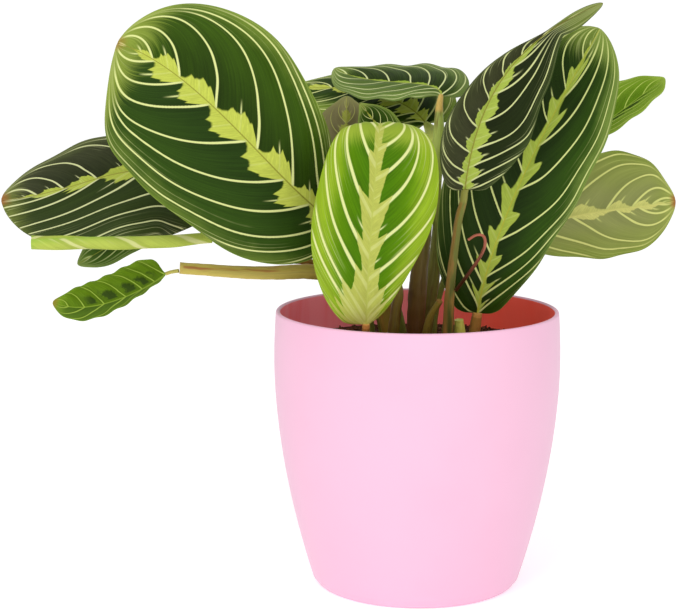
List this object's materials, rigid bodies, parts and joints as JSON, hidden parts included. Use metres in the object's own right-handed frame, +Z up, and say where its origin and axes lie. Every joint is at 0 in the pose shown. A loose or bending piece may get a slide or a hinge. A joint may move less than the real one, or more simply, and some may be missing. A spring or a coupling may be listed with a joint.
{
  "type": "potted prayer plant",
  "caption": "Prayer plant with broad feather-patterned leaves on slim stalks, rooted in potting mix in a smooth round cover pot that stands on its flat base.",
  "frame": {"origin": "on the pot's axis, at the flat underside of the pot", "axes": "+Z up along the pot's axis, -Y towards the picture's camera, +X to the picture's right"},
  "size_m": [0.3402, 0.1562, 0.2882],
  "materials": {
    "pot": "smooth satin",
    "soil": "rough crumbs",
    "leaf_dark": "soft satin",
    "leaf_bronze": "soft satin",
    "leaf_lime": "soft satin",
    "leaf_pale": "soft satin",
    "leaf_bright": "soft satin",
    "leaf_underside": "soft satin",
    "leaf_taupe": "soft satin",
    "stalk": "smooth satin",
    "stalk_red": "smooth satin",
    "stalk_orange": "smooth satin",
    "shoot_pale": "smooth satin",
    "dried": "matt"
  },
  "bodies": {
    "root": {"cover_pot": "pot", "potting_mix": "soil", "leaf_upper_left": "leaf_dark", "stalk_leaf_upper_left": "stalk", "leaf_far_left": "leaf_bronze", "stalk_leaf_far_left": "stalk", "leaf_front": "leaf_lime", "stalk_leaf_front": "stalk", "leaf_upper_right": "leaf_bronze", "stalk_leaf_upper_right": "stalk", "leaf_tall_right": "leaf_dark", "stalk_leaf_tall_right": "stalk", "leaf_low_left": "leaf_bright", "leaf_tucked_left": "leaf_dark", "stalk_leaf_tucked_left": "stalk", "leaf_top": "leaf_dark", "stalk_leaf_top": "stalk", "leaf_back": "leaf_dark", "stalk_leaf_back": "stalk", "leaf_far_right": "leaf_underside", "stalk_leaf_far_right": "stalk", "leaf_back_right": "leaf_bright", "stalk_leaf_back_right": "stalk", "leaf_back_left": "leaf_taupe", "stalk_leaf_back_left": "stalk", "leaf_narrow_back": "leaf_dark", "stalk_leaf_narrow_back": "stalk", "left_shoot": "stalk_red", "side_branch": "stalk", "shoot_right": "shoot_pale", "shoot_front_left": "leaf_taupe", "shoot_front_right": "leaf_taupe", "stalk_leaf_low_left": "stalk_orange", "stalk_leaf_furled": "stalk_orange", "leaf_furled": "leaf_pale", "dried_tendril": "dried"}
  },
  "joints": []
}
